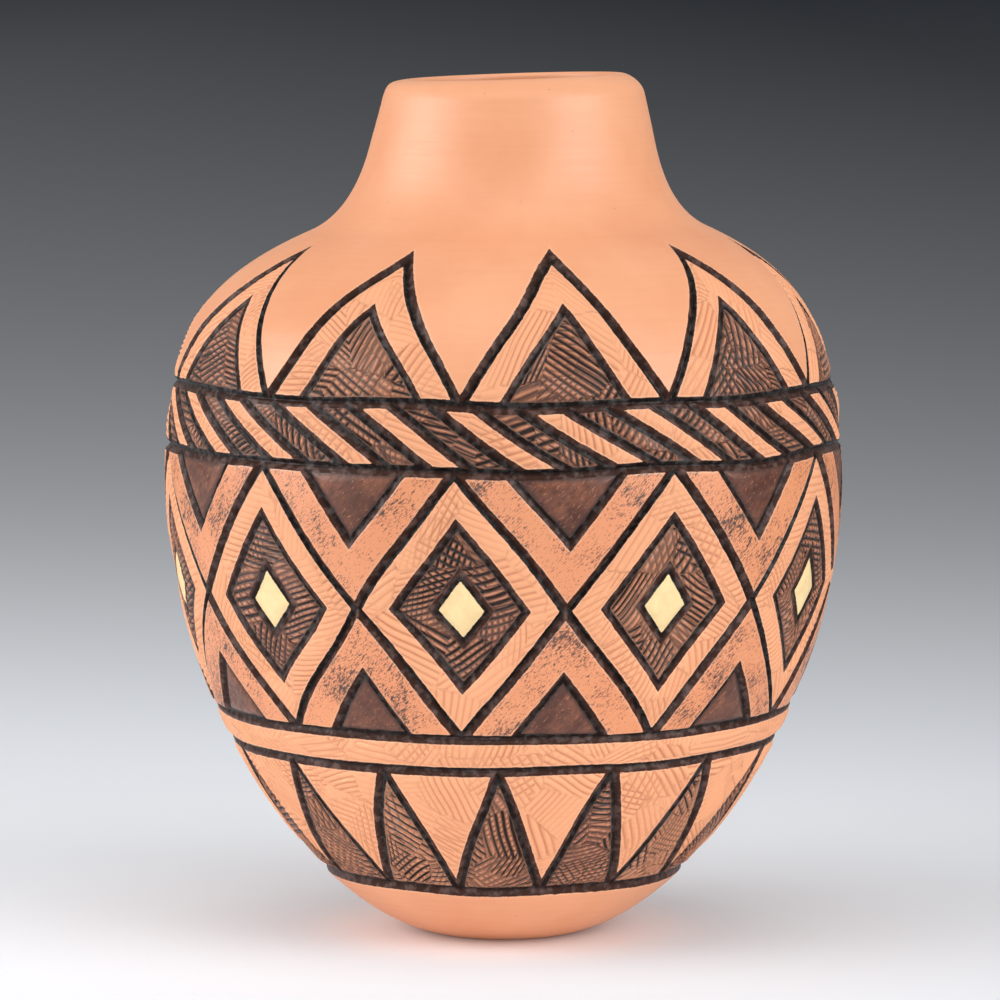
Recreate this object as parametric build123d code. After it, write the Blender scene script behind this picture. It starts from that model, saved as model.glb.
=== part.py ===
"""Hand-built clay jar: a moulded base, wall and neck coils lapped one on another, and a rolled rim.

Millimetres, +Z up, origin on the resting face at the centre of the foot.
"""

import os
from math import cos, radians, sin

from build123d import *

# Outline of the outer face, from the foot up to the lip. Each rise is counted from the point below it, and
# a pull is how far a curve keeps to the direction that it starts or ends with.
foot_radius = 23.5
foot_spread_angle = 12.5
foot_pull = 37.0
belly_radius = 103.5
belly_height = 141.0
flank_pull = 69.0
crown_pull = 41.0
shoulder_radius = 60.5
shoulder_rise = 74.0
shoulder_slope_angle = 24.0
shoulder_pull = 36.0
throat_pull = 14.5
neck_radius = 42.8
neck_rise = 28.0
neck_taper_angle = 14.0
neck_pull = 5.5
collar_length = 18.3
lip_roll = 6.0
lip_outer_pull = 5.0
lip_inner_pull = 4.5

# Clay wall and the coils that it is built from. A joint goes straight in for its butt, and then slopes
# down to the lap.
wall_thickness = 7.5
floor_thickness = 9.0
base_reach = 45.0
wall_coil_count = 9
neck_coil_count = 2
butt_depth = 3.0
lap_length = 9.0

# Carved lines that run round the jar, each with a steep wall above and a bevel below. The lowest lies below
# the first coil, and the others lie in pairs, above and below the lower edge of the coil named for it,
# measured along the wall.
line_width = 3.4
line_bevel_width = 2.1
line_depth = 2.0
foot_line_drop = 7.0
stripe_coil = 3
stripe_half = 5.5
twist_coil = 7
twist_half = 9.5

# Carved motifs that fill the bands between those lines, each outlined by a cut of its own. The slant of the
# twist is counted in bars.
outline_width = 3.0
outline_depth = 1.6
tooth_count = 15
lozenge_count = 10
twist_count = 24
twist_slant = 1.1
peak_count = 10
peak_rise = 53.5
design_turn_angle = 7.45

# Places on a curve that is laid through points, per coil and per band
inner_points = 6
band_spans = 7
# How far the tools stand out of the clay, for a line and at the edges of a band of motifs, and how far a
# motif is pushed in and out from its flat drawing
line_clearance = 2.0
band_clearance = 12.0
drawing_travel = 40.0


def across(length, angle):
    """A step in the plane of the outline, its angle counted from straight out to straight up."""
    return Vector(length * cos(radians(angle)), 0, length * sin(radians(angle)))


def outer_line():
    """The jar's outer face in section: lower wall, upper wall, throat and collar."""
    up = Vector(0, 0, 1)
    shoulder_way = 180 - shoulder_slope_angle
    neck_way = 90 + neck_taper_angle
    foot = Vector(foot_radius, 0, 0)
    belly = Vector(belly_radius, 0, belly_height)
    shoulder = Vector(shoulder_radius, 0, belly_height + shoulder_rise)
    neck = Vector(neck_radius, 0, shoulder.Z + neck_rise)
    lower_wall = Bezier(foot, foot + across(foot_pull, foot_spread_angle), belly - up * flank_pull, belly)
    upper_wall = Bezier(
        belly, belly + up * crown_pull, shoulder - across(shoulder_pull, shoulder_way), shoulder
    )
    throat = Bezier(
        shoulder, shoulder + across(throat_pull, shoulder_way), neck - across(neck_pull, neck_way), neck
    )
    collar = Line(neck, neck + across(collar_length, neck_way))
    return [lower_wall, upper_wall, throat, collar]


stretches = outer_line()
outline = Wire([edge for stretch in stretches for edge in stretch.edges()])
wall_reach = outline.length
shoulder_reach = stretches[0].length + stretches[1].length
collar_reach = wall_reach - collar_length


def along(reach):
    """The direction of the outline, that far along it from the foot."""
    return outline.tangent_at(reach / wall_reach)


def outward(reach):
    """The direction out of the clay there."""
    way = along(reach)
    return Vector(way.Z, 0, -way.X)


def outer(reach):
    """A point on the outer face."""
    return outline.position_at(reach / wall_reach)


def butt(reach):
    """The point in the wall where a joint starts to slope."""
    return outer(reach) - outward(reach) * butt_depth


def inner(reach):
    """The point on the inner face behind it."""
    return outer(reach) - outward(reach) * wall_thickness


def stations(start, end, count):
    """Reaches that divide a stretch of wall into equal parts, both ends included."""
    return [start + (end - start) * i / count for i in range(count + 1)]


def inner_line(start, end):
    """The inner face in section, between two reaches."""
    points = [inner(reach) for reach in stations(start, end, inner_points - 1)]
    way = 1 if end > start else -1
    return Spline(points, tangents=[along(start) * way, along(end) * way])


def outer_face_line(start, end):
    """The outer face in section, between two reaches."""
    return outline.trim(start / wall_reach, end / wall_reach).edges()


def joint_line(reach):
    """A joint in section, from the outer face down to the inner one."""
    return Polyline(outer(reach), butt(reach), inner(reach - lap_length)).edges()


def ring(edges):
    """A piece of the jar, turned from its closed section."""
    return revolve(make_face(edges), axis=Axis.Z)


def base_bowl(top):
    """A pancake of clay pressed in a shallow mould. Its upper edge is cut for the first coil."""
    floor_centre = Vector(0, 0, floor_thickness)
    lap = top - lap_length
    dish = Spline(inner(lap), floor_centre, tangents=[along(lap) * -1, Vector(-1, 0, 0)])
    return ring(
        [
            Line((0, 0, 0), outer(0)),
            *outer_face_line(0, top),
            *joint_line(top),
            dish,
            Line(floor_centre, (0, 0, 0)),
        ]
    )


def coil(bottom, top):
    """A rope of clay pinched to the wall's thickness, lapped on the inside of the piece below."""
    return ring(
        [
            *outer_face_line(bottom, top),
            *joint_line(top),
            inner_line(top - lap_length, bottom - lap_length),
            *joint_line(bottom),
        ]
    )


def rim_coil(bottom):
    """The last coil, its top wiped over from the outside to a round lip."""
    way = along(wall_reach)
    start, end = outer(wall_reach - lip_roll), inner(wall_reach)
    lip = Bezier(start, start + way * lip_outer_pull, end + way * lip_inner_pull, end)
    return ring(
        [
            *outer_face_line(bottom, wall_reach - lip_roll),
            lip,
            inner_line(wall_reach, bottom - lap_length),
            *joint_line(bottom),
        ]
    )


def carved_line(reach):
    """The clay that a carved line round the jar takes away."""
    way = along(reach)
    low_edge = outer(reach) - way * (line_width / 2)
    high_edge = outer(reach) + way * (line_width / 2)
    deepest = low_edge + way * line_bevel_width - outward(reach) * line_depth
    stretch = 1 + line_clearance / line_depth
    corners = [deepest, deepest + (low_edge - deepest) * stretch, deepest + (high_edge - deepest) * stretch]
    return ring(Polyline(*corners, close=True).edges())


def skin(low, high):
    """The outside of the wall between two reaches, from the depth of a motif outwards."""
    reaches = stations(low, high, band_spans)
    floor = Spline([outer(reach) - outward(reach) * outline_depth for reach in reaches])
    mouth = [outer(reach) + outward(reach) * band_clearance for reach in (low, high)]
    return ring([floor, *Polyline(floor @ 0, *mouth, floor @ 1).edges()])


def motif(corners, low, high):
    """The clay that a motif's outline takes away within its band. Corners are turns and reaches."""
    middle = (low + high) / 2
    flat = Plane(outer(middle), x_dir=(0, 1, 0), z_dir=outward(middle))
    points = [flat.to_local_coords(outer(reach).rotate(Axis.Z, turn)) for turn, reach in corners]
    shape = make_face(Polyline(*[(point.X, point.Y) for point in points], close=True).edges())
    outside = offset(shape, outline_width / 2, kind=Kind.INTERSECTION)
    inside = offset(shape, -outline_width / 2, kind=Kind.INTERSECTION)
    return extrude(flat * (outside - inside), amount=drawing_travel, both=True) & skin(low, high)


def triangle(count, base, tip):
    """Corners of a triangle that shares the jar's girth with others, run on a little below its base."""
    spread = (180 / count) * (1 + line_width / (tip - base))
    return [(-spread, base - line_width), (spread, base - line_width), (0, tip)]


def lozenge(count, low, high):
    """Corners of a lozenge that touches its neighbours."""
    middle = (low + high) / 2
    return [(-180 / count, middle), (0, low), (180 / count, middle), (0, high)]


def twist_bar(count, low, high):
    """Corners of a slanting bar, half as wide as its share of the girth, run on at both ends."""
    quarter = 90 / count
    lean = twist_slant * (180 / count) * (1 + 2 * line_width / (high - low))
    return [
        (lean - quarter, low - line_width),
        (lean + quarter, low - line_width),
        (quarter - lean, high + line_width),
        (-quarter - lean, high + line_width),
    ]


def around(tool, count, first_turn):
    """A carving tool at each of its places round the jar."""
    return [tool.rotate(Axis.Z, first_turn - design_turn_angle + 360 * i / count) for i in range(count)]


def carve(piece, bottom, top):
    """A piece of the jar, less what the tools of the bands that it lies in take away."""
    for low, high, tools in carving:
        if low < top and high > bottom:
            piece = piece.cut(*tools)
    return piece


wall_joints = stations(base_reach, shoulder_reach, wall_coil_count)
neck_joints = stations(shoulder_reach, collar_reach, neck_coil_count)

foot_line = base_reach - foot_line_drop
stripe_low = wall_joints[stripe_coil - 1] - stripe_half
stripe_high = wall_joints[stripe_coil - 1] + stripe_half
twist_low = wall_joints[twist_coil - 1] - twist_half
twist_high = wall_joints[twist_coil - 1] + twist_half
peak_tip = twist_high + peak_rise
peak_top = peak_tip + 2 * outline_width

tooth = motif(triangle(tooth_count, foot_line, stripe_low), foot_line, stripe_low)
diamond = motif(lozenge(lozenge_count, stripe_high, twist_low), stripe_high, twist_low)
bar = motif(twist_bar(twist_count, twist_low, twist_high), twist_low, twist_high)
peak = motif(triangle(peak_count, twist_high, peak_tip), twist_high, peak_top)

# What is carved away, with the reaches that it lies between
carving = [
    (reach - line_width, reach + line_width, [carved_line(reach)])
    for reach in (foot_line, stripe_low, stripe_high, twist_low, twist_high)
]
carving += [
    (foot_line, stripe_low, around(tooth, tooth_count, 180 / tooth_count)),
    (stripe_high, twist_low, around(diamond, lozenge_count, 180 / lozenge_count)),
    (twist_low, twist_high, around(bar, twist_count, (1 - twist_slant) * 180 / twist_count)),
    (twist_high, peak_top, around(peak, peak_count, 0)),
]

pieces = {"base_bowl": carve(base_bowl(base_reach), 0, base_reach)}
for number, (bottom, top) in enumerate(zip(wall_joints, wall_joints[1:]), 1):
    pieces[f"wall_coil_{number}"] = carve(coil(bottom, top), bottom, top)
for number, (bottom, top) in enumerate(zip(neck_joints, neck_joints[1:]), 1):
    pieces[f"neck_coil_{number}"] = coil(bottom, top)
pieces["rim_coil"] = rim_coil(collar_reach)

os.makedirs("parts", exist_ok=True)
for name, piece in pieces.items():
    export_step(piece, f"parts/{name}.step")
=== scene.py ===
"""Carved clay jar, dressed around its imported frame. Metres, +Z up, the viewer on the -Y side."""

from math import cos, pi, radians, sin, tau

import bmesh
import bpy
import numpy as np
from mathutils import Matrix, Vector


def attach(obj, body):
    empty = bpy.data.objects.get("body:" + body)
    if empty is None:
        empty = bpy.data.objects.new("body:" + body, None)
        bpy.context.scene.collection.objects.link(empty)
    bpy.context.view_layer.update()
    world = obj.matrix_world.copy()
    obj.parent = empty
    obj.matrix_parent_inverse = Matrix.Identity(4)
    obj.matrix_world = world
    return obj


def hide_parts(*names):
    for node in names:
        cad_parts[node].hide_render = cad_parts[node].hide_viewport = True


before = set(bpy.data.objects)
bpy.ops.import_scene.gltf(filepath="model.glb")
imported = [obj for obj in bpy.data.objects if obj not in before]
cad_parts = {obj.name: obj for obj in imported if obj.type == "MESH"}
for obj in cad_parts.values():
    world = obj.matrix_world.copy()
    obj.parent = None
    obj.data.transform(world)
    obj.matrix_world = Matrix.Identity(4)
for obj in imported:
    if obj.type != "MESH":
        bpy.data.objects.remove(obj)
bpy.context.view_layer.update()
mm = 0.001

# Base bowl
# A pancake of buff clay pressed into a shallow mould, with a small flat foot. Below the lowest carved
# line it is slipped and rubbed with a stone; its bevelled top edge takes the first coil.
foot_radius = 23.5 * mm
foot_spread_angle = radians(12.5)
foot_pull = 37 * mm
belly_radius = 103.5 * mm
belly_height = 141 * mm
flank_pull = 69 * mm
crown_pull = 41 * mm
shoulder_radius = 60.5 * mm
shoulder_height = 215 * mm
shoulder_slope_angle = radians(24)
shoulder_pull = 36 * mm
throat_pull = 14.5 * mm
neck_radius = 42.8 * mm
neck_height = 243 * mm
neck_taper_angle = radians(14)
neck_pull = 5.5 * mm
collar_length = 18.3 * mm
wall_thickness = 7.5 * mm
floor_thickness = 9 * mm
base_reach = 45 * mm
lap_length = 9 * mm
butt_depth = 3 * mm
curve_places = 900


def way(angle):
    """A step of one in the plane of the wall's section, at an angle from straight out to straight up."""
    return np.array((cos(angle), sin(angle)))


def bent(start, start_handle, end_handle, end, count):
    """Points along a curve with two handles."""
    t = np.linspace(0, 1, count)[:, None]
    return (
        start * (1 - t) ** 3
        + 3 * start_handle * t * (1 - t) ** 2
        + 3 * end_handle * t**2 * (1 - t)
        + end * t**3
    )


shoulder_way = way(pi - shoulder_slope_angle)
neck_way = way(pi / 2 + neck_taper_angle)
foot = np.array((foot_radius, 0))
belly = np.array((belly_radius, belly_height))
shoulder = np.array((shoulder_radius, shoulder_height))
neck = np.array((neck_radius, neck_height))
lip = neck + collar_length * neck_way
stretches = (
    bent(foot, foot + foot_pull * way(foot_spread_angle), belly - (0, flank_pull), belly, curve_places),
    bent(belly, belly + (0, crown_pull), shoulder - shoulder_pull * shoulder_way, shoulder, curve_places),
    bent(shoulder, shoulder + throat_pull * shoulder_way, neck - neck_pull * neck_way, neck, curve_places),
    bent(neck, neck + (lip - neck) / 3, lip - (lip - neck) / 3, lip, curve_places),
)
section_line = np.concatenate([stretches[0]] + [stretch[1:] for stretch in stretches[1:]])
section_steps = np.linalg.norm(np.diff(section_line, axis=0), axis=1)
section_reach = np.concatenate(([0], np.cumsum(section_steps)))
section_way = np.gradient(section_line, section_reach, axis=0)
section_way /= np.linalg.norm(section_way, axis=1)[:, None]
shoulder_reach = section_reach[2 * curve_places - 2]
wall_reach = section_reach[-1]
collar_reach = wall_reach - collar_length


def outer(reach):
    """Radius and height of the outer face, that far along the wall from the foot."""
    return np.stack([np.interp(reach, section_reach, section_line[:, i]) for i in (0, 1)], -1)


def outward(reach):
    """The direction out of the clay there."""
    along = np.stack([np.interp(reach, section_reach, section_way[:, i]) for i in (0, 1)], -1)
    return np.stack([along[..., 1], -along[..., 0]], -1)


def inner(reach):
    """Radius and height of the inner face behind it."""
    return outer(reach) - wall_thickness * outward(reach)


def places(start, end, step):
    """Reaches from start to end, both included, about a step apart."""
    return np.linspace(start, end, max(2, round(abs(end - start) / step) + 1))


# Carved pieces are divided finely enough to hold a tool stroke, and plain ones need far less.
# A narrow row beside each joint keeps the shading even from one coil to the next.
sectors = 12
carved_turns = 1440
carved_step = 0.48 * mm
plain_turns = 360
plain_step = 1.2 * mm
inside_step = 6 * mm
joint_row = 0.05 * mm
weld_distance = 0.001 * mm
outside_share = 0.8
map_strips = 4
strip_slack = 1e-3
axis_radius = 0.01 * mm
# What a section point that isn't on the outer face has in place of a reach
hidden, in_joint = -1, -2


def outside_rows(start, end, step):
    """Section points of the outer face between two reaches: radius, height and reach."""
    reach = np.sort(np.append(places(start, end, step), (start + joint_row, end - joint_row)))
    return np.column_stack([outer(reach), reach])


def inside_rows(start, end, step):
    """Section points of the inner face, from one reach to another."""
    row = np.copysign(joint_row, end - start)
    between = places(start, end, step)[1:-1]
    reach = np.concatenate([(start, start + row), between, (end - row, end)])
    return np.column_stack([inner(reach), np.full(len(reach), hidden)])


def butt(reach):
    """The section point where a coil joint, cut straight in from the outer face, starts to slope down."""
    return np.append(outer(reach) - butt_depth * outward(reach), in_joint)[None]


def spun(name, section, turns):
    """A clay piece turned from its section. Faces that lie in a joint are flat, and the rest are smooth."""
    shape = bmesh.new()
    reach_layer = shape.verts.layers.float.new("reach")
    girth_layer = shape.verts.layers.float.new("girth")
    on_outside = section[:, 2] >= 0
    outside_place = np.cumsum(on_outside) / (on_outside.sum() + 1)
    other_place = np.cumsum(~on_outside) / ((~on_outside).sum() + 1)
    girth = outside_share * outside_place + (1 - outside_share) * other_place
    chain = []
    for (radius, height, reach), place in zip(section, girth):
        chain.append(shape.verts.new((radius, 0, height)))
        chain[-1][reach_layer] = reach
        chain[-1][girth_layer] = place
    closed = chain[-1].co.x > 0
    edges = [shape.edges.new(pair) for pair in zip(chain, chain[1:] + chain[: int(closed)])]
    turn = tau / sectors
    bmesh.ops.spin(shape, geom=chain + edges, axis=(0, 0, 1), angle=turn, steps=turns // sectors)
    sector = shape.verts[:] + shape.edges[:] + shape.faces[:]
    bmesh.ops.spin(
        shape, geom=sector, axis=(0, 0, 1), angle=tau - turn, steps=sectors - 1, use_duplicate=True
    )
    bmesh.ops.remove_doubles(shape, verts=shape.verts, dist=weld_distance)
    bmesh.ops.recalc_face_normals(shape, faces=shape.faces)
    for face in shape.faces:
        face.smooth = all(vert[reach_layer] != in_joint for vert in face.verts)
    mesh = bpy.data.meshes.new(name)
    shape.to_mesh(mesh)
    shape.free()
    piece = bpy.data.objects.new(name, mesh)
    bpy.context.scene.collection.objects.link(piece)
    return piece


def numbers(data, name, width=1):
    """One field of every vertex, corner or face, as an array."""
    found = np.zeros(len(data) * width, np.float32 if name != "vertex_index" else np.int32)
    data.foreach_get(name, found)
    return found.reshape(-1, width) if width > 1 else found


def lay_map(mesh):
    """Unrolls the piece's surface to strips of a square, one strip for each quarter turn."""
    spots = numbers(mesh.vertices, "co", 3)
    corner = numbers(mesh.loops, "vertex_index")
    starts = np.array([face.loop_start for face in mesh.polygons])
    counts = np.diff(np.append(starts, len(corner)))
    on_axis = np.hypot(spots[:, 0], spots[:, 1])[corner] < axis_radius
    turn = (np.arctan2(spots[:, 1], spots[:, 0])[corner] / tau) % 1
    girth = numbers(mesh.attributes["girth"].data, "value")[corner]

    def unbroken(value):
        """The same values, run on past 1 in a face that lies across the end of the count."""
        low = np.repeat(np.minimum.reduceat(value, starts), counts)
        high = np.repeat(np.maximum.reduceat(value, starts), counts)
        return np.where((high - low > 0.5) & (value < 0.5), value + 1, value)

    # A corner on the axis has no turn of its own, so it takes one from the rest of its face.
    off_axis_low = np.repeat(np.minimum.reduceat(np.where(on_axis, np.inf, turn), starts), counts)
    turn = unbroken(np.where(on_axis, off_axis_low, turn))
    girth = unbroken(girth)
    strip = np.floor(np.repeat(np.minimum.reduceat(turn, starts), counts) * map_strips + strip_slack)
    across = np.clip(turn * map_strips - strip, 0, 1)
    up = (strip % map_strips + np.clip(girth, 0, 1)) / map_strips
    layer = mesh.uv_layers.new(name="OFBake")
    layer.data.foreach_set("uv", np.stack([across, up], -1).astype(np.float32).ravel())


# The neck was set by hand a little off the middle, its lip not quite level and pinched sharper on one side.
lean = 3.0 * mm
lean_from = 188 * mm
lean_bend = 1.5
lip_tilt = 0.033
lip_lift = 0.45 * mm
lip_pinch = 0.8 * mm
pinch_reach = 3.0 * mm
pinched_at = lip - np.array((1.4, 1.7)) * mm
least_radius = 1 * mm


def set_by_hand(spots):
    """The places of vertices, as the hand-built wall has them."""
    radius = np.maximum(np.hypot(spots[:, 0], spots[:, 1]), least_radius)
    away = np.hypot(radius - pinched_at[0], spots[:, 2] - pinched_at[1])
    side = np.clip(-spots[:, 0] / radius, 0, 1) ** 2
    pinch = lip_pinch * side * np.exp(-((away / pinch_reach) ** 2))
    spots[:, :2] *= (1 + pinch / radius)[:, None]
    spots[:, 2] += pinch
    rise = np.clip((spots[:, 2] - lean_from) / (lip[1] - lean_from), 0, 1)
    spots[:, 2] += (lip_tilt * spots[:, 0] + lip_lift) * rise
    spots[:, 0] += lean * (1 - (1 - rise) ** lean_bend)
    return spots


def linear(code):
    """A colour written as an sRGB hex code, as the shader's own numbers."""
    parts = [int(code[i : i + 2], 16) / 255 for i in (1, 3, 5)]
    return tuple(p / 12.92 if p <= 0.04045 else ((p + 0.055) / 1.055) ** 2.4 for p in parts) + (1,)


def add(tree, kind, inputs, **settings):
    """One node with its settings, and for each socket a value or the socket that feeds it."""
    made = tree.nodes.new("ShaderNode" + kind)
    for name, value in settings.items():
        setattr(made, name, value)
    for socket, value in inputs.items():
        if isinstance(value, bpy.types.NodeSocket):
            tree.links.new(value, made.inputs[socket])
        else:
            made.inputs[socket].default_value = value
    return made


# Stone-polished buff clay: low-fired, satin, with soft clouds of tint and faint level rubbing marks.
buff = linear("#E99E70")
buff_pale = linear("#F0AC80")
buff_deep = linear("#DE8F60")
grit = linear("#8A5238")
cloud_size = 45 * mm
cloud_span = {"From Min": 0.32, "From Max": 0.68}
plain_share = 0.5
rub_width = 0.9 * mm
rub_length = 28 * mm
rub_depth = 0.012 * mm
rub_span = {"From Min": 0.3, "From Max": 0.7}
rub_strength = 0.16
grit_spacing = 9 * mm
grit_size = 0.35 * mm
grit_strength = 0.8
clay_ior = 1.5
polished_roughness = (0.42, 0.52)
polished_gloss = 0.9


def polished_body(tree):
    """Sockets for the polished clay's colour, roughness and height."""
    spot = add(tree, "TexCoord", {}).outputs["Object"]
    clouds = add(tree, "TexNoise", {"Vector": spot, "Scale": 1 / cloud_size, "Detail": 4.0, "Roughness": 0.6})
    stretch = (1 / rub_length, 1 / rub_length, 1 / rub_width)
    rubbed = add(tree, "Mapping", {"Vector": spot, "Scale": stretch})
    rubs = add(tree, "TexNoise", {"Vector": rubbed.outputs[0], "Scale": 1.0, "Detail": 3.0, "Roughness": 0.6})
    cloud = add(tree, "MapRange", {"Value": clouds.outputs[0], **cloud_span})
    colour = add(tree, "Mix", {0: cloud.outputs[0], 6: buff_deep, 7: buff_pale}, data_type="RGBA")
    colour = add(tree, "Mix", {0: plain_share, 6: colour.outputs[2], 7: buff}, data_type="RGBA")
    rub = add(tree, "MapRange", {"Value": rubs.outputs[0], **rub_span, "To Max": rub_strength})
    colour = add(tree, "Mix", {0: rub.outputs[0], 6: colour.outputs[2], 7: buff_deep}, data_type="RGBA")
    grains = add(tree, "TexVoronoi", {"Vector": spot, "Scale": 1 / grit_spacing})
    near = {"Value": grains.outputs["Distance"], "From Max": grit_size / grit_spacing}
    speck = add(tree, "MapRange", {**near, "To Min": grit_strength, "To Max": 0.0})
    colour = add(tree, "Mix", {0: speck.outputs[0], 6: colour.outputs[2], 7: grit}, data_type="RGBA")
    low, high = polished_roughness
    rough = {"Value": rubs.outputs[0], **rub_span, "To Min": low, "To Max": high}
    roughness = add(tree, "MapRange", rough)
    return colour.outputs[2], roughness.outputs[0], rubs.outputs[0]


def polished_clay():
    """Plain polished clay, for the neck and the rim."""
    material = bpy.data.materials.new("stone_polished_buff_clay")
    material.use_nodes = True
    tree = material.node_tree
    shader = tree.nodes["Principled BSDF"]
    colour, roughness, height = polished_body(tree)
    bump = add(tree, "Bump", {"Height": height, "Strength": 1.0, "Distance": rub_depth})
    shader.inputs["IOR"].default_value = clay_ior
    shader.inputs["Specular IOR Level"].default_value = polished_gloss
    tree.links.new(colour, shader.inputs["Base Color"])
    tree.links.new(roughness, shader.inputs["Roughness"])
    tree.links.new(bump.outputs[0], shader.inputs["Normal"])
    return material


def dress(piece, material):
    """Gives a piece its map and finish, and sets it in the place of its CAD node."""
    lay_map(piece.data)
    piece.data.materials.append(material)
    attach(piece, "root")
    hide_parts(piece.name.removesuffix("_dressed"))


base_carved_from = 33 * mm
base_plain_step = 2 * mm
dish_places = 9
dish_bend = 2.6
dish_edge = inner(base_reach - lap_length)
dish_share = np.linspace(1, 0, dish_places)
dish = np.column_stack(
    [
        dish_edge[0] * dish_share,
        floor_thickness + (dish_edge[1] - floor_thickness) * dish_share**dish_bend,
        np.full(dish_places, hidden),
    ]
)
base = spun(
    "base_bowl_dressed",
    np.concatenate(
        [
            [(0, 0, hidden)],
            outside_rows(0, base_carved_from, base_plain_step)[:-1],
            outside_rows(base_carved_from, base_reach, carved_step),
            butt(base_reach),
            dish,
        ]
    ),
    carved_turns,
)

# Wall coils
# Ropes of clay pinched to the wall's thickness, each lapped on the inside of the one below. When leather
# hard they are carved with a gouge, hatched with a scriber, and painted with brown and cream slips.
wall_coil_count = 9
foot_line_drop = 7 * mm
stripe_coil = 3
stripe_half = 5.5 * mm
twist_coil = 7
twist_half = 9.5 * mm
wall_joints = np.linspace(base_reach, shoulder_reach, wall_coil_count + 1)


def coil(name, bottom, top, step, turns):
    """A lapped ring of the wall between two joints."""
    outside = outside_rows(bottom, top, step)
    inside = inside_rows(top - lap_length, bottom - lap_length, inside_step)
    return spun(name, np.concatenate([outside, butt(top), inside, butt(bottom)]), turns)


wall_coils = [
    coil(f"wall_coil_{number}_dressed", bottom, top, carved_step, carved_turns)
    for number, (bottom, top) in enumerate(zip(wall_joints, wall_joints[1:]), 1)
]

# The design: bands of plain geometry between lines that run round the jar.
foot_line = base_reach - foot_line_drop
stripe_low = wall_joints[stripe_coil - 1] - stripe_half
stripe_high = wall_joints[stripe_coil - 1] + stripe_half
twist_low = wall_joints[twist_coil - 1] - twist_half
twist_high = wall_joints[twist_coil - 1] + twist_half
peak_tip = 254 * mm
tooth_count = 15
lozenge_count = 10
twist_count = 24
twist_slant = 1.1
front_turn = 0.13
ring_width = 3.4 * mm
outline_width = 3.0 * mm
inner_line_width = 2.4 * mm
frame_width = 9.5 * mm
cream_inset = 18.5 * mm
gap_inset = 12 * mm
peak_frame_width = 10.5 * mm
# A distance that is far outside any line
no_line = -1

# How heavily the brown slip was brushed on each kind of motif, from the lightest to the heaviest. Above 1
# it has a second coat.
tooth_weight = (0.65, 1)
lozenge_weight = (0.85, 1)
gap_weight = (1.25, 1.5)
twist_weight = 0.95
peak_weight = (0.85, 1)

# Tool work: how deep each tool goes, and how far apart its strokes lie. A line is cut with its steep wall
# on the side of the motif, and a bevel on the other.
line_steepness = 0.58
bevel_share = 0.62
line_floor_depth = 0.12 * mm
line_floor_length = 5 * mm
line_floor_fade = 1 * mm
brown_drop = 0.5 * mm
cream_drop = 0.6 * mm
drop_fade = 0.8 * mm
edge_drop = 0.7 * mm
edge_round = 2.4 * mm
edge_fade = 0.4 * mm
stroke_pitch = 2.0 * mm
pitch_spread = (0.75, 1.25)
stroke_depth = 0.7 * mm
brown_stroke_depth = 1.2 * mm
stroke_patch = 19 * mm
cross_patch = 0.8 * stroke_patch
patch_place = (0.05, 0.95)
spare_patches = 3
patch_fray = 0.8 * mm
fray_length = 4 * mm
stroke_waver = 0.25 * mm
waver_length = 18 * mm
stroke_fade = 0.9 * mm
stroke_margin = 0.5 * mm
stroke_force = (0.6, 1.1)
cross_force = (-0.7, 1.1)
brown_least_force = 0.6
brown_least_cross = 0.4
count_start = 9
smear_slant = 0.75
smear_stretch = 1.7
mean_radius = 92 * mm

# How far the hand strays from the drawing, sideways and in height, and how much it shakes
side_stray = 0.7 * mm
side_stray_length = 50 * mm
rise_stray = 0.6 * mm
rise_stray_length = 60 * mm
shake = 0.06 * mm
shake_length = 5 * mm
wave_count = 18
wave_spread = (0.7, 1.6)


def swell(turn, reach, size, seed):
    """Smooth unevenness of about that size, mostly between -1 and 1, that closes round the jar."""
    draw = np.random.default_rng(seed)
    total = np.zeros_like(turn)
    for _ in range(wave_count):
        heading = draw.uniform(0, tau)
        length = size * draw.uniform(*wave_spread)
        around = round(cos(heading) * tau * mean_radius / length)
        total += np.sin(around * turn + sin(heading) * tau / length * reach + draw.uniform(0, tau))
    return total / np.sqrt(wave_count)


def strokes(turn, reach, radius, patch, forces, seed):
    """Patches of parallel strokes, each patch laid its own way: the count of strokes, and their force."""
    draw = np.random.default_rng(seed)
    columns = round(tau * mean_radius / patch)
    rows = int(wall_reach / patch) + spare_patches
    jitter = draw.uniform(*patch_place, (columns, rows, 2))
    heading = draw.uniform(0, pi, (columns, rows))
    start = draw.uniform(0, count_start, (columns, rows))
    force = np.clip(draw.uniform(*forces, (columns, rows)), 0, 1)
    spacing = stroke_pitch * draw.uniform(*pitch_spread, (columns, rows))
    column_place = turn * columns / tau
    row_place = reach / patch
    nearest = np.full(turn.shape, np.inf)
    second = nearest.copy()
    count = np.zeros_like(turn)
    press = np.zeros_like(turn)
    waver = stroke_waver * swell(turn, reach, waver_length, seed + 1)
    for column_step in (-1, 0, 1):
        for row_step in (-1, 0, 1):
            column = np.floor(column_place).astype(int) + column_step
            row = np.floor(row_place).astype(int) + row_step
            cell = (column % columns, np.clip(row, 0, rows - 1))
            right = (column_place - column - jitter[cell][:, 0]) * tau * radius / columns
            above = (row_place - row - jitter[cell][:, 1]) * patch
            distance = np.hypot(right, above)
            across = np.cos(heading[cell]) * right + np.sin(heading[cell]) * above + waver
            closer = distance < nearest
            second = np.where(closer, nearest, np.minimum(second, distance))
            nearest = np.where(closer, distance, nearest)
            count = np.where(closer, across / spacing[cell] + start[cell], count)
            press = np.where(closer, force[cell], press)
    border = (second - nearest) / 2 + patch_fray * (1 + swell(turn, reach, fray_length, seed + 2))
    return count, press * ramp(border, stroke_fade)


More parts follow.
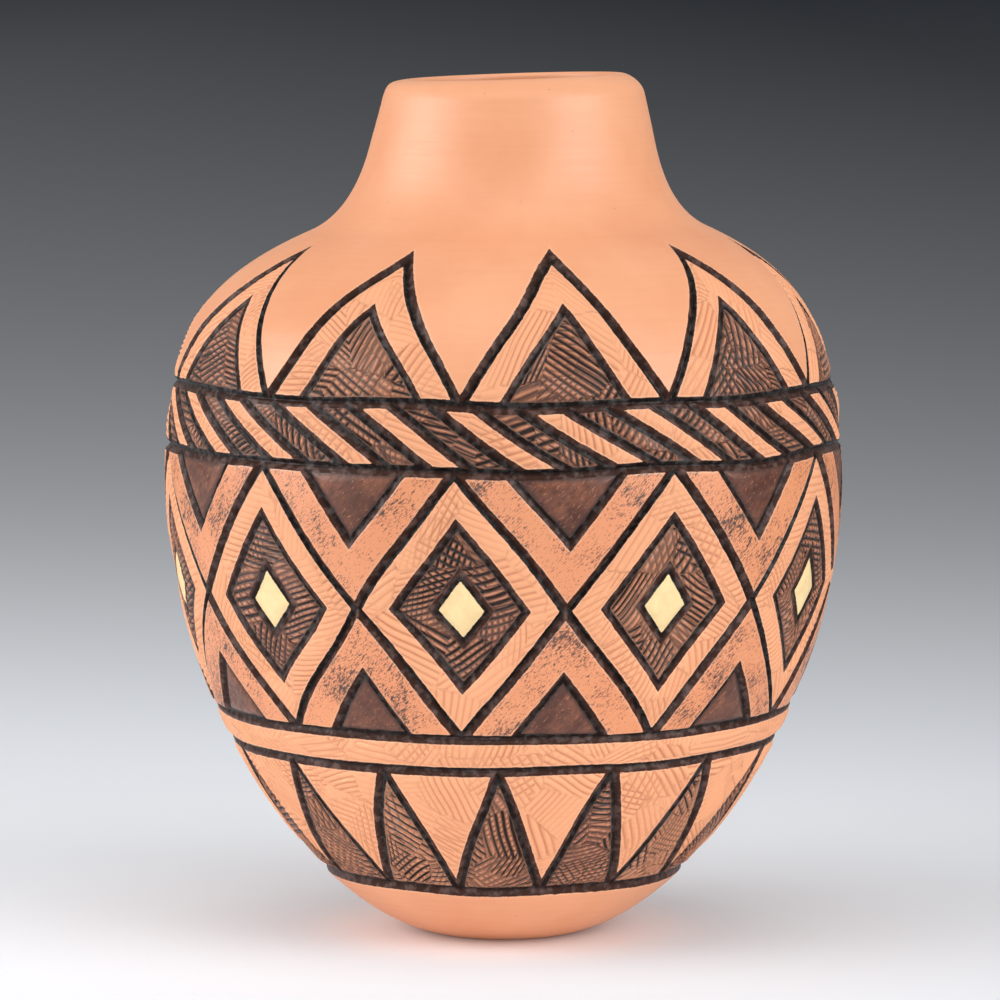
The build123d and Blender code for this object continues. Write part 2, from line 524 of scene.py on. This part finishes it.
# A stroke's own place and strength come from its number, in the mesh and in the material alike.
drift = 0.12
drift_step = 7.23
strength_mean = 0.65
strength_swing = 0.35
strength_step = 12.99
stroke_sharpness = 1.4


def scriber(count, press):
    """How deep the strokes are, from 0 to 1. Each has its own strength, and lies a little off its place."""
    number = np.floor(count)
    off = np.abs(count - number - 0.5 - drift * np.cos(drift_step * number))
    own = strength_mean + strength_swing * np.sin(strength_step * number)
    return np.clip(1 - 2 * off, 0, 1) ** stroke_sharpness * own * press


def ramp(value, width):
    """0 below nothing, 1 above the width, eased between."""
    t = np.clip(value / width, 0, 1)
    return t * t * (3 - 2 * t)


def motifs(spot, level, radius):
    """How far inside a tooth, a lozenge, a bar of the twist and a peak each point lies."""

    def across(count, shift):
        """0 in the middle of each of the repeats, 1 between two."""
        return np.abs((spot * count / tau + shift) % 1 - 0.5) * 2

    def steepness(count, height):
        """How fast a measure that falls by 1 over half a repeat, and over a height, changes per metre."""
        return np.hypot(count / (pi * radius), 1 / height)

    tooth_height = stripe_low - foot_line
    tooth = 1 - (level - foot_line) / tooth_height - across(tooth_count, 0)
    tooth = tooth / steepness(tooth_count, tooth_height)
    middle, half = (stripe_high + twist_low) / 2, (twist_low - stripe_high) / 2
    lozenge = 1 - across(lozenge_count, 0) - np.abs(level - middle) / half
    lozenge = lozenge / steepness(lozenge_count, half)
    twist_height = twist_high - twist_low
    twist_place = spot * twist_count / tau + twist_slant * (level - twist_low) / twist_height
    twist = 0.5 - np.abs(twist_place % 1 - 0.5) * 2
    twist = twist / (2 * np.hypot(twist_count / (tau * radius), twist_slant / twist_height))
    peak_height = peak_tip - twist_high
    peak = 1 - (level - twist_high) / peak_height - across(lozenge_count, 0.5)
    peak = peak / steepness(lozenge_count, peak_height)
    return tooth, lozenge, twist, peak


def cut_lines(lines):
    """How far inside a cut each point lies, how deep it is there, and how near to the steep wall.

    A line is given by the distance from its middle, its width and the band that it keeps to.
    """
    line = np.full_like(lines[0][0], no_line)
    groove = np.zeros_like(line)
    steep = np.zeros_like(line)
    for middle, width, band in lines:
        inside = np.where(band > 0, width / 2 - np.abs(middle), no_line)
        slope = 0.5 + middle / width
        fall = np.minimum(slope / bevel_share, (1 - slope) / (1 - bevel_share))
        deep = np.where(inside > 0, line_steepness * width * fall, 0)
        steep = np.where(deep > groove, slope, steep)
        line = np.maximum(line, inside)
        groove = np.maximum(groove, deep)
    return line, groove, steep


def carve(turn, reach):
    """Depth of the carving at points of the outer face, and what the slips and tools did there."""
    radius = outer(reach)[:, 0]
    side = side_stray * swell(turn, reach, side_stray_length, seed=11)
    side = side + shake * swell(turn, reach, shake_length, seed=12)
    spot = turn + front_turn + side / radius
    level = reach + rise_stray * swell(turn, reach, rise_stray_length, seed=13)
    level = level + shake * swell(turn, reach, shake_length, seed=14)
    tooth, lozenge, twist, peak = motifs(spot, level, radius)
    tooth_band = np.minimum(level - foot_line, stripe_low - level)
    stripe_band = np.minimum(level - stripe_low, stripe_high - level)
    lozenge_band = np.minimum(level - stripe_high, twist_low - level)
    twist_band = np.minimum(level - twist_low, twist_high - level)
    peak_band = level - twist_high
    everywhere = np.ones_like(reach)
    rings = (foot_line, stripe_low, stripe_high, twist_low, twist_high)
    line, groove, steep = cut_lines(
        [
            (tooth, outline_width, tooth_band),
            (lozenge, outline_width, lozenge_band),
            (lozenge - frame_width, inner_line_width, lozenge_band),
            (lozenge - cream_inset, inner_line_width, lozenge_band),
            (-lozenge - gap_inset, inner_line_width, lozenge_band),
            (twist, outline_width, twist_band),
            (peak, outline_width, peak_band),
            (peak - peak_frame_width, inner_line_width, peak_band),
            *((level - ring, ring_width, everywhere) for ring in rings),
        ]
    )

    # Panels, each as the distance inside its edge
    brown = np.maximum.reduce(
        [
            np.minimum(tooth, tooth_band),
            np.minimum.reduce([lozenge - frame_width, cream_inset - lozenge, lozenge_band]),
            np.minimum(twist, twist_band),
            np.minimum(peak - peak_frame_width, peak_band),
        ]
    )
    plain_brown = np.minimum(-lozenge - gap_inset, lozenge_band)
    cream = np.minimum(lozenge - cream_inset, lozenge_band)
    fleck = np.minimum.reduce([-lozenge, gap_inset + lozenge, lozenge_band])
    hatched = np.maximum.reduce(
        [
            np.minimum(-tooth, tooth_band),
            stripe_band,
            np.minimum.reduce([lozenge, frame_width - lozenge, lozenge_band]),
            np.minimum(-twist, twist_band),
            np.minimum.reduce([peak, peak_frame_width - peak, peak_band]),
        ]
    )
    tooled = np.maximum(hatched, brown)

    def repeat(count, shift, span, seed):
        """A number of its own for each repeat of a motif."""
        own = np.random.default_rng(seed).uniform(*span, count)
        return own[np.floor(spot * count / tau + shift).astype(int) % count]

    weight = repeat(tooth_count, 0, tooth_weight, seed=21)
    weight = np.where(lozenge_band > 0, repeat(lozenge_count, 0, lozenge_weight, seed=22), weight)
    weight = np.where(plain_brown > 0, repeat(lozenge_count, 0.5, gap_weight, seed=23), weight)
    weight = np.where(twist_band > 0, twist_weight, weight)
    weight = np.where(peak_band > 0, repeat(lozenge_count, 0.5, peak_weight, seed=24), weight)

    # Strokes keep clear of the lines, and brown panels have none that are faint.
    clear = ramp(tooled, stroke_margin) * ramp(-line, stroke_margin)
    count_a, press_a = strokes(turn, reach, radius, stroke_patch, stroke_force, seed=31)
    count_b, press_b = strokes(turn, reach, radius, cross_patch, cross_force, seed=41)
    brown_press = brown_least_force + (1 - brown_least_force) * press_a
    press_a = np.where(brown > 0, brown_press, press_a) * clear
    press_b = np.where(brown > 0, np.maximum(press_b, brown_least_cross), press_b) * clear
    scribed = np.maximum(scriber(count_a, press_a), scriber(count_b, press_b))
    in_brown = ramp(np.maximum(brown, plain_brown), drop_fade)
    on_panel = ramp(np.maximum.reduce([tooled, cream, plain_brown]), edge_fade)
    rough_floor = line_floor_depth * swell(turn, reach, line_floor_length, seed=51)
    depth = (
        brown_drop * in_brown
        + cream_drop * ramp(cream, drop_fade)
        + edge_drop * on_panel * (1 - np.clip(-line / edge_round, 0, 1)) ** 2
        + np.where(brown > 0, brown_stroke_depth, stroke_depth) * scribed
    )
    depth = np.maximum(depth, groove + rough_floor * ramp(line, line_floor_fade))
    twisted = turn - smear_slant * reach / mean_radius
    smear_up = reach / smear_stretch
    smear = np.stack([mean_radius * np.cos(twisted), mean_radius * np.sin(twisted), smear_up], -1)
    marks = {
        "line_edge": line,
        # Nearness to the steep wall of a cut, which places the cut lines' painted shade
        "line_steep": steep,
        "brown_edge": np.maximum(brown, plain_brown),
        "brown_weight": weight,
        "cream_edge": cream,
        "fleck_edge": fleck,
        "tool_edge": tooled,
        "stroke_count_a": count_a,
        "stroke_press_a": press_a,
        "stroke_count_b": count_b,
        "stroke_press_b": press_b,
        "smear": smear,
    }
    return depth, marks


def work(piece, carved):
    """Shapes a piece by hand, carving its outer face first where that is asked for."""
    mesh = piece.data
    spots = numbers(mesh.vertices, "co", 3).astype(float)
    reach = numbers(mesh.attributes["reach"].data, "value").astype(float)
    outside = reach >= 0
    if carved:
        turn = np.arctan2(spots[outside, 1], spots[outside, 0]) % tau
        depth, marks = carve(turn, reach[outside])
        out = outward(reach[outside])
        spots[outside, 0] -= depth * out[:, 0] * np.cos(turn)
        spots[outside, 1] -= depth * out[:, 0] * np.sin(turn)
        spots[outside, 2] -= depth * out[:, 1]
        for name, values in marks.items():
            field = np.full((len(spots),) + values.shape[1:], hidden, np.float32)
            field[outside] = values
            kind, part = ("FLOAT", "value") if values.ndim == 1 else ("FLOAT_VECTOR", "vector")
            mesh.attributes.new(name, kind, "POINT").data.foreach_set(part, field.ravel())
    mesh.vertices.foreach_set("co", set_by_hand(spots).astype(np.float32).ravel())
    mesh.update()


# Carved and painted clay: matt where the scriber went, brown slip worn red on the ridges and pooled near
# black in the cut lines, flecks of slip thrown from a stiff brush, and a flat cream slip. Painted shade
# darkens the strokes and the deep side of the cuts, and painted highlight lightens the ridges and the edges
# of the cuts. Every coat ends a little ragged.
ragged_size = 0.9 * mm
ragged_reach = 0.4 * mm
coat_fade = 0.07 * mm


def coat_marks(tree, ragged):
    """Where each coat or tool went, by the attributes that the carving left."""
    fray = {"Value": ragged, "To Min": -ragged_reach / 2, "To Max": ragged_reach / 2}
    fray = add(tree, "MapRange", fray).outputs[0]
    mark = {}
    for name in ("line_edge", "brown_edge", "cream_edge", "fleck_edge", "tool_edge"):
        edge = add(tree, "Attribute", {}, attribute_name=name).outputs["Fac"]
        edge = add(tree, "Math", {0: edge, 1: fray}, operation="ADD").outputs[0]
        span = {"Value": edge, "From Min": -coat_fade, "From Max": coat_fade}
        mark[name] = add(tree, "MapRange", span).outputs[0]
    return mark


# Widths within a stroke are shares of the pitch.
fine_half_width = 0.28
ridge_half_width = 0.5
ridge_span = {"From Max": 0.45, "To Min": 0.92, "To Max": 0.0}


def tool_marks(tree):
    """The fine cut in the middle of each scriber's stroke, and the ridge that is left between two."""
    cuts = []
    slopes = []
    presses = []
    for layer in "ab":
        count = add(tree, "Attribute", {}, attribute_name=f"stroke_count_{layer}").outputs["Fac"]
        press = add(tree, "Attribute", {}, attribute_name=f"stroke_press_{layer}").outputs["Fac"]
        number = add(tree, "Math", {0: count}, operation="FLOOR").outputs[0]
        place = add(tree, "Math", {0: count, 1: number}, operation="SUBTRACT").outputs[0]
        shift = add(tree, "Math", {0: number, 1: drift_step}, operation="MULTIPLY").outputs[0]
        shift = add(tree, "Math", {0: shift}, operation="COSINE").outputs[0]
        shift = add(tree, "Math", {0: shift, 1: drift, 2: 0.5}, operation="MULTIPLY_ADD").outputs[0]
        off = add(tree, "Math", {0: place, 1: shift}, operation="SUBTRACT").outputs[0]
        off = add(tree, "Math", {0: off}, operation="ABSOLUTE").outputs[0]
        own = add(tree, "Math", {0: number, 1: strength_step}, operation="MULTIPLY").outputs[0]
        own = add(tree, "Math", {0: own}, operation="SINE").outputs[0]
        own = {0: own, 1: strength_swing, 2: strength_mean}
        own = add(tree, "Math", own, operation="MULTIPLY_ADD").outputs[0]
        cut = {"Value": off, "From Max": fine_half_width, "To Min": 1.0, "To Max": 0.0}
        cut = add(tree, "MapRange", cut, interpolation_type="SMOOTHSTEP").outputs[0]
        cut = add(tree, "Math", {0: cut, 1: own}, operation="MULTIPLY").outputs[0]
        cuts.append(add(tree, "Math", {0: cut, 1: press}, operation="MULTIPLY").outputs[0])
        slope = {"Value": off, "From Max": ridge_half_width, "To Min": 1.0, "To Max": 0.0}
        slope = add(tree, "MapRange", slope).outputs[0]
        slopes.append(add(tree, "Math", {0: slope, 1: press}, operation="MULTIPLY").outputs[0])
        presses.append(press)
    stroke, slope, press = (
        add(tree, "Math", {0: first, 1: second}, operation="MAXIMUM").outputs[0]
        for first, second in (cuts, slopes, presses)
    )
    # The ridge mask also places the brown slip's painted highlight.
    ridge = add(tree, "MapRange", {"Value": slope, **ridge_span}).outputs[0]
    ridge = add(tree, "Math", {0: ridge, 1: press}, operation="MULTIPLY").outputs[0]
    return stroke, ridge


# Flecks lie on a thin wash. They run up to the right, as the brush was drawn, thicker in some places. Each
# kind has its size and slip, the noise level where they start in thin and in thick places, and a soft edge.
fleck_wash = linear("#DC8552")
wash_strength = 0.6
fleck_cloud = 16 * mm
fleck_cloud_span = {"From Min": 0.36, "From Max": 0.64}
fleck_strength = 0.92
specks = (0.5 * mm, linear("#8A4C32"), 0.6, 0.48, 0.06)
flecks = (0.9 * mm, linear("#402419"), 0.66, 0.5, 0.05)
blots = (2.1 * mm, linear("#2B1A14"), 0.71, 0.545, 0.05)


def flecked(tree, colour, where, spot, smear):
    """The colour with the wash and the flecks laid over it."""
    wash = add(tree, "Math", {0: where, 1: wash_strength}, operation="MULTIPLY").outputs[0]
    colour = add(tree, "Mix", {0: wash, 6: colour, 7: fleck_wash}, data_type="RGBA").outputs[2]
    cloud = add(tree, "TexNoise", {"Vector": spot, "Scale": 1 / fleck_cloud, "Detail": 3.0}).outputs[0]
    for size, slip, thin, thick, soft in (specks, flecks, blots):
        thrown = add(tree, "TexNoise", {"Vector": smear, "Scale": 1 / size, "Detail": 3.0, "Roughness": 0.7})
        least = {"Value": cloud, **fleck_cloud_span, "To Min": thin, "To Max": thick}
        least = add(tree, "MapRange", least).outputs[0]
        over = add(tree, "Math", {0: thrown.outputs[0], 1: least}, operation="SUBTRACT").outputs[0]
        cover = add(tree, "MapRange", {"Value": over, "From Max": soft, "To Max": fleck_strength}).outputs[0]
        cover = add(tree, "Math", {0: cover, 1: where}, operation="MULTIPLY").outputs[0]
        colour = add(tree, "Mix", {0: cover, 6: colour, 7: slip}, data_type="RGBA").outputs[2]
    return colour


# Brown slip is thin and worn in patches, streaked by the brush, rubbed off the ridges and skipped in specks.
# The ridges are also painted lighter as a highlight. It pools in the strokes and beside the lines, where it
# is also darkened as painted shade. A second coat is darker, and bare in places.
brown_slip = linear("#6E4231")
brown_worn = linear("#A9684A")
brown_thick = linear("#3E241B")
brown_coat = linear("#462116")
# Light ridge colour: partly slip rubbed off the ridges, partly painted highlight. It also colours the skipped
# specks.
brown_ridge_highlight_and_skip = linear("#D08C68")
# Near black of the strokes and of the edges beside the cuts: partly pooled slip, partly painted shade
brown_pooled_shade = linear("#1F110C")
brush_hair = 1.4 * mm
hair_span = {"From Min": 0.45, "From Max": 0.68, "To Max": 0.7}
second_coat_span = {"From Min": 1.0, "From Max": 1.5, "To Max": 0.95}
bare_size = 11 * mm
bare_span = {"From Min": 0.45, "From Max": 0.53, "To Min": 0.5, "To Max": 1.0}
skip_size = 0.8 * mm
skip_span = {"From Min": 0.6, "From Max": 0.7, "To Max": 0.6}
pool_shade_span = {"From Min": 0.05, "From Max": 0.45}
pooled_shade_rim_span = {"From Min": -1.1 * mm, "From Max": -0.1 * mm, "To Max": 1.2}


def browned(tree, colour, where, smear, line_edge, stroke, ridge, wear, worn):
    """The colour with the brown slip laid over it."""
    weight = add(tree, "Attribute", {}, attribute_name="brown_weight").outputs["Fac"]
    slip = add(tree, "Mix", {0: worn, 6: brown_slip, 7: brown_worn}, data_type="RGBA").outputs[2]
    hairs = add(tree, "TexNoise", {"Vector": smear, "Scale": 1 / brush_hair, "Detail": 4.0, "Roughness": 0.7})
    thick = add(tree, "MapRange", {"Value": hairs.outputs[0], **hair_span}).outputs[0]
    slip = add(tree, "Mix", {0: thick, 6: slip, 7: brown_thick}, data_type="RGBA").outputs[2]
    second = add(tree, "MapRange", {"Value": weight, **second_coat_span}).outputs[0]
    bare = add(tree, "TexNoise", {"Vector": smear, "Scale": 1 / bare_size, "Detail": 3.0, "Distortion": 0.5})
    bare = add(tree, "MapRange", {"Value": bare.outputs[0], **bare_span}).outputs[0]
    second = add(tree, "Math", {0: second, 1: bare}, operation="MULTIPLY").outputs[0]
    slip = add(tree, "Mix", {0: second, 6: slip, 7: brown_coat}, data_type="RGBA").outputs[2]
    # Ridges between strokes lighter: partly worn slip, partly painted highlight.
    slip = add(tree, "Mix", {0: ridge, 6: slip, 7: brown_ridge_highlight_and_skip}, data_type="RGBA").outputs[2]
    skips = add(tree, "TexNoise", {"Vector": smear, "Scale": 1 / skip_size, "Detail": 3.0, "Roughness": 0.7})
    skip = add(tree, "MapRange", {"Value": skips.outputs[0], **skip_span}).outputs[0]
    slip = add(tree, "Mix", {0: skip, 6: slip, 7: brown_ridge_highlight_and_skip}, data_type="RGBA").outputs[2]
    # Painted shade in the stroke valleys, partly pooled slip as well.
    pooled_shade = add(tree, "MapRange", {"Value": stroke, **pool_shade_span}).outputs[0]
    slip = add(tree, "Mix", {0: pooled_shade, 6: slip, 7: brown_pooled_shade}, data_type="RGBA").outputs[2]
    # Painted shade along the edges beside the cut lines, partly pooled slip as well.
    rim = add(tree, "MapRange", {"Value": line_edge, **pooled_shade_rim_span}).outputs[0]
    rim = add(tree, "Math", {0: rim, 1: wear}, operation="MULTIPLY").outputs[0]
    slip = add(tree, "Mix", {0: rim, 6: slip, 7: brown_pooled_shade}, data_type="RGBA").outputs[2]
    cover = add(tree, "Math", {0: pooled_shade, 1: weight}, operation="MAXIMUM", use_clamp=True).outputs[0]
    cover = add(tree, "Math", {0: cover, 1: where}, operation="MULTIPLY").outputs[0]
    return add(tree, "Mix", {0: cover, 6: colour, 7: slip}, data_type="RGBA").outputs[2]


# The slip in a cut line is scuffed to a dull sheen on the bevel. Towards the deepest part and the steep wall
# it is painted near black, partly slip pooled there and partly painted shade.
line_bevel = linear("#3A221A")
line_worn = linear("#5C382B")
# Near black of the cut lines' deep side: partly pooled slip, partly painted shade
line_pooled_shade = linear("#140B08")
steep_span = {"From Min": 0.3, "From Max": 0.7}
scuff_span = {"From Min": 0.5, "From Max": 0.75}


def lined(tree, colour, where, sheen):
    """The colour with the dark slip of the cut lines, and their painted shade, laid over it."""
    steep = add(tree, "Attribute", {}, attribute_name="line_steep").outputs["Fac"]
    steep = add(tree, "MapRange", {"Value": steep, **steep_span}).outputs[0]
    scuffed = add(tree, "MapRange", {"Value": sheen, **scuff_span}).outputs[0]
    bevel = add(tree, "Mix", {0: scuffed, 6: line_bevel, 7: line_worn}, data_type="RGBA").outputs[2]
    # Painted shade: the line goes near black towards the steep wall and the deepest part, partly as pooled
    # slip.
    line = add(tree, "Mix", {0: steep, 6: bevel, 7: line_pooled_shade}, data_type="RGBA").outputs[2]
    return add(tree, "Mix", {0: where, 6: colour, 7: line}, data_type="RGBA").outputs[2]


# Scribed clay is matt and grainy, and darker in each stroke as painted shade. It is pale along the edges of
# the cuts, partly rubbed and partly painted highlight. The slips have a sheen that comes and goes.
scribed_buff = linear("#EEA67A")
# Colour in the scriber's strokes: painted shade
stroke_shade_buff = linear("#C27C56")
stroke_shade_strength = 0.8
# Pale rim along the cuts: partly worn edge, partly painted highlight
worn_and_lit_edge = linear("#F4C3A2")
worn_and_lit_rim_span = {"From Min": -0.7 * mm, "From Max": -0.1 * mm, "To Max": 0.6}
cream_slip = linear("#F3D79C")
cream_thin = linear("#E9C288")
wear_size = 7 * mm
wear_span = {"From Min": 0.38, "From Max": 0.7, "To Max": 0.85}
sheen_size = 2.4 * mm
sheen_span = {"From Min": 0.35, "From Max": 0.65}
gloss_span = {"From Min": 0.45, "From Max": 0.65}
grain_size = 0.7 * mm
grain_depth = 0.08 * mm
fine_stroke_depth = 0.22 * mm
buff_bite, brown_bite = 0.6, 1.0
scribed_roughness = 0.6
scribed_gloss = 0.5
brown_roughness = (0.28, 0.5)
brown_gloss = 0.5
line_roughness = (0.34, 0.55)
line_gloss = (0.12, 0.6)


def carved_clay():
    """The wall's clay, with its tool marks and its slips in the order in which they were laid."""
    material = bpy.data.materials.new("carved_and_slipped_clay")
    material.use_nodes = True
    tree = material.node_tree
    shader = tree.nodes["Principled BSDF"]
    colour, roughness, height = polished_body(tree)
    spot = add(tree, "TexCoord", {}).outputs["Object"]
    smear = add(tree, "Attribute", {}, attribute_name="smear").outputs["Vector"]
    line_edge = add(tree, "Attribute", {}, attribute_name="line_edge").outputs["Fac"]
    ragged = add(tree, "TexNoise", {"Vector": spot, "Scale": 1 / ragged_size, "Detail": 2.0}).outputs[0]
    wear = add(tree, "TexNoise", {"Vector": spot, "Scale": 1 / wear_size, "Detail": 5.0, "Roughness": 0.65})
    wear = wear.outputs[0]
    worn = add(tree, "MapRange", {"Value": wear, **wear_span}).outputs[0]
    sheen = add(tree, "TexNoise", {"Vector": spot, "Scale": 1 / sheen_size, "Detail": 2.0}).outputs[0]
    mark = coat_marks(tree, ragged)
    stroke, ridge = tool_marks(tree)

    # Painted shade in the scriber's strokes on the buff clay.
    scribed = add(tree, "MapRange", {"Value": stroke, "To Max": stroke_shade_strength}).outputs[0]
    tooled = add(tree, "Mix", {0: scribed, 6: scribed_buff, 7: stroke_shade_buff}, data_type="RGBA").outputs[2]
    colour = add(tree, "Mix", {0: mark["tool_edge"], 6: colour, 7: tooled}, data_type="RGBA").outputs[2]
    colour = flecked(tree, colour, mark["fleck_edge"], spot, smear)
    # Pale rim beside the cut lines: partly wear, partly painted highlight.
    rim = add(tree, "MapRange", {"Value": line_edge, **worn_and_lit_rim_span}).outputs[0]
    rim = add(tree, "Math", {0: rim, 1: ragged}, operation="MULTIPLY").outputs[0]
    colour = add(tree, "Mix", {0: rim, 6: colour, 7: worn_and_lit_edge}, data_type="RGBA").outputs[2]
    colour = browned(tree, colour, mark["brown_edge"], smear, line_edge, stroke, ridge, wear, worn)
    cream = add(tree, "Mix", {0: worn, 6: cream_slip, 7: cream_thin}, data_type="RGBA").outputs[2]
    colour = add(tree, "Mix", {0: mark["cream_edge"], 6: colour, 7: cream}, data_type="RGBA").outputs[2]
    colour = lined(tree, colour, mark["line_edge"], sheen)

    roughness = add(tree, "Mix", {0: mark["tool_edge"], 2: roughness, 3: scribed_roughness}).outputs[0]
    for name, (low, high) in (("brown_edge", brown_roughness), ("line_edge", line_roughness)):
        own = {"Value": sheen, **sheen_span, "To Min": low, "To Max": high}
        own = add(tree, "MapRange", own).outputs[0]
        roughness = add(tree, "Mix", {0: mark[name], 2: roughness, 3: own}).outputs[0]
    low, high = line_gloss
    line = add(tree, "MapRange", {"Value": sheen, **gloss_span, "To Min": low, "To Max": high}).outputs[0]
    gloss = add(tree, "Mix", {0: mark["tool_edge"], 2: polished_gloss, 3: scribed_gloss}).outputs[0]
    gloss = add(tree, "Mix", {0: mark["brown_edge"], 2: gloss, 3: brown_gloss}).outputs[0]
    gloss = add(tree, "Mix", {0: mark["line_edge"], 2: gloss, 3: line}).outputs[0]

    bump = add(tree, "Bump", {"Height": height, "Distance": rub_depth}).outputs[0]
    grain = add(tree, "TexNoise", {"Vector": spot, "Scale": 1 / grain_size, "Detail": 3.0}).outputs[0]
    matt = add(tree, "Math", {0: mark["tool_edge"], 1: mark["line_edge"]}, operation="MAXIMUM").outputs[0]
    grained = {"Height": grain, "Strength": matt, "Distance": grain_depth, "Normal": bump}
    bump = add(tree, "Bump", grained).outputs[0]
    bite = add(tree, "Mix", {0: mark["brown_edge"], 2: buff_bite, 3: brown_bite}).outputs[0]
    scratched = {"Height": stroke, "Strength": bite, "Distance": fine_stroke_depth, "Normal": bump}
    bump = add(tree, "Bump", scratched, invert=True).outputs[0]
    shader.inputs["IOR"].default_value = clay_ior
    tree.links.new(colour, shader.inputs["Base Color"])
    tree.links.new(roughness, shader.inputs["Roughness"])
    tree.links.new(gloss, shader.inputs["Specular IOR Level"])
    tree.links.new(bump, shader.inputs["Normal"])
    return material


carved = carved_clay()
for piece in [base] + wall_coils:
    work(piece, True)
    dress(piece, carved)

# Neck coils
# Two more coils draw the shoulder in to the neck. They are left uncarved, slipped and rubbed with a stone.
neck_coil_count = 2
neck_joints = np.linspace(shoulder_reach, collar_reach, neck_coil_count + 1)
polished = polished_clay()
for number, (bottom, top) in enumerate(zip(neck_joints, neck_joints[1:]), 1):
    piece = coil(f"neck_coil_{number}_dressed", bottom, top, plain_step, plain_turns)
    work(piece, False)
    dress(piece, polished)

# Rim coil
# The last coil, wiped with a wet hide so that its top is a round lip, and polished inside and out.
lip_roll = 6 * mm
lip_outer_pull = 5 * mm
lip_inner_pull = 4.5 * mm
lip_places = 16
lip_start, lip_end = outer(wall_reach - lip_roll), inner(wall_reach)
lip_handles = lip_start + lip_outer_pull * neck_way, lip_end + lip_inner_pull * neck_way
lip_round = bent(lip_start, *lip_handles, lip_end, lip_places)[1:-1]
rim = spun(
    "rim_coil_dressed",
    np.concatenate(
        [
            outside_rows(collar_reach, wall_reach - lip_roll, plain_step),
            np.column_stack([lip_round, np.full(len(lip_round), hidden)]),
            inside_rows(wall_reach, collar_reach - lap_length, plain_step),
            butt(collar_reach),
        ]
    ),
    plain_turns,
)
work(rim, False)
dress(rim, polished)

# Floor
# A plain pale sheet whose colour falls off to grey far behind the jar and is darker towards the right, both
# as painted shade.
floor_radius = 30
floor_sides = 96
floor_pale = linear("#F5F8FD")
floor_far = linear("#31373F")
half_pale_reach = 1.4
tilt_reach = 1.0
left_tone, right_tone = 1.37, 0.63
paper_roughness = 0.9
shape = bmesh.new()
bmesh.ops.create_circle(shape, cap_ends=True, segments=floor_sides, radius=floor_radius)
mesh = bpy.data.meshes.new("floor")
shape.to_mesh(mesh)
shape.free()
floor = bpy.data.objects.new("floor", mesh)
bpy.context.scene.collection.objects.link(floor)
paper = bpy.data.materials.new("paper_sheet")
paper.use_nodes = True
tree = paper.node_tree
spot = add(tree, "TexCoord", {}).outputs["Object"]
# Painted shade: the sheet's colour darkens with distance from the jar.
distance = add(tree, "VectorMath", {0: spot}, operation="LENGTH").outputs["Value"]
share = add(tree, "Math", {0: distance, 1: half_pale_reach}, operation="DIVIDE").outputs[0]
share = add(tree, "Math", {0: share, 1: 1.0}, operation="ADD").outputs[0]
# Painted shade: the sheet's colour is darker towards the right.
tilt = add(tree, "SeparateXYZ", {0: spot}).outputs["X"]
tilt = {"Value": tilt, "From Min": -tilt_reach, "From Max": tilt_reach}
tilt = add(tree, "MapRange", {**tilt, "To Min": left_tone, "To Max": right_tone}).outputs[0]
share = add(tree, "Math", {0: tilt, 1: share}, operation="DIVIDE").outputs[0]
sheet = add(tree, "Mix", {0: share, 6: floor_far, 7: floor_pale}, data_type="RGBA").outputs[2]
shader = tree.nodes["Principled BSDF"]
shader.inputs["Roughness"].default_value = paper_roughness
shader.inputs["Specular IOR Level"].default_value = 0.0
tree.links.new(sheet, shader.inputs["Base Color"])
floor.data.materials.append(paper)

# Light
# Two tall soft boxes at the sides, broad ones above and behind, a low strip in front whose grid keeps its
# light to the foot, and an even room.
room_strength = 0.375
jar_middle = (0, 0, 0.14)
scene = bpy.context.scene
scene.world = bpy.data.worlds.new("room")
scene.world.use_nodes = True
room = scene.world.node_tree.nodes["Background"]
room.inputs["Color"].default_value = linear("#FFFFFF")
room.inputs["Strength"].default_value = room_strength


def soft_box(name, place, aim, width, height, watts, spread=pi):
    """A flat lamp of that size at a place, turned to its aim. A grid may narrow its spread."""
    lamp = bpy.data.lights.new(name, "AREA")
    lamp.shape = "RECTANGLE"
    lamp.size = width
    lamp.size_y = height
    lamp.energy = watts
    lamp.spread = spread
    holder = bpy.data.objects.new(name, lamp)
    holder.location = place
    holder.rotation_euler = (Vector(aim) - Vector(place)).to_track_quat("-Z", "Y").to_euler()
    scene.collection.objects.link(holder)


soft_box("left_box", (-1.2, -0.25, 0.56), jar_middle, width=1.1, height=0.85, watts=11.4)
soft_box("right_box", (1.0, -0.68, 0.56), jar_middle, width=1.0, height=0.85, watts=10.1)
soft_box("top_box", (0.0, -0.6, 1.3), jar_middle, width=2.0, height=1.0, watts=6.9)
soft_box("back_box", (0.0, 0.4, 1.0), (0, 0.12, 0), width=1.6, height=0.6, watts=0.5, spread=radians(110))
soft_box("foot_strip", (-0.2, -1.5, 0.12), (0, 0, 0.03), width=1.2, height=0.15, watts=0.2, spread=radians(9))

# Camera
# It stands a little above the rim, far off, with a long lens.
camera_distance = 1.70
camera_elevation = radians(6.0)
camera_lens = 200
camera_far = 100
camera_aim = Vector((-1.1 * mm, 0, 132 * mm))
camera = bpy.data.objects.new("camera", bpy.data.cameras.new("camera"))
camera.data.lens = camera_lens
camera.data.clip_end = camera_far
away = Vector((0, -cos(camera_elevation), sin(camera_elevation)))
camera.location = camera_aim + camera_distance * away
camera.rotation_euler = (-away).to_track_quat("-Z", "Y").to_euler()
scene.collection.objects.link(camera)
scene.camera = camera
scene.view_settings.view_transform = "Standard"
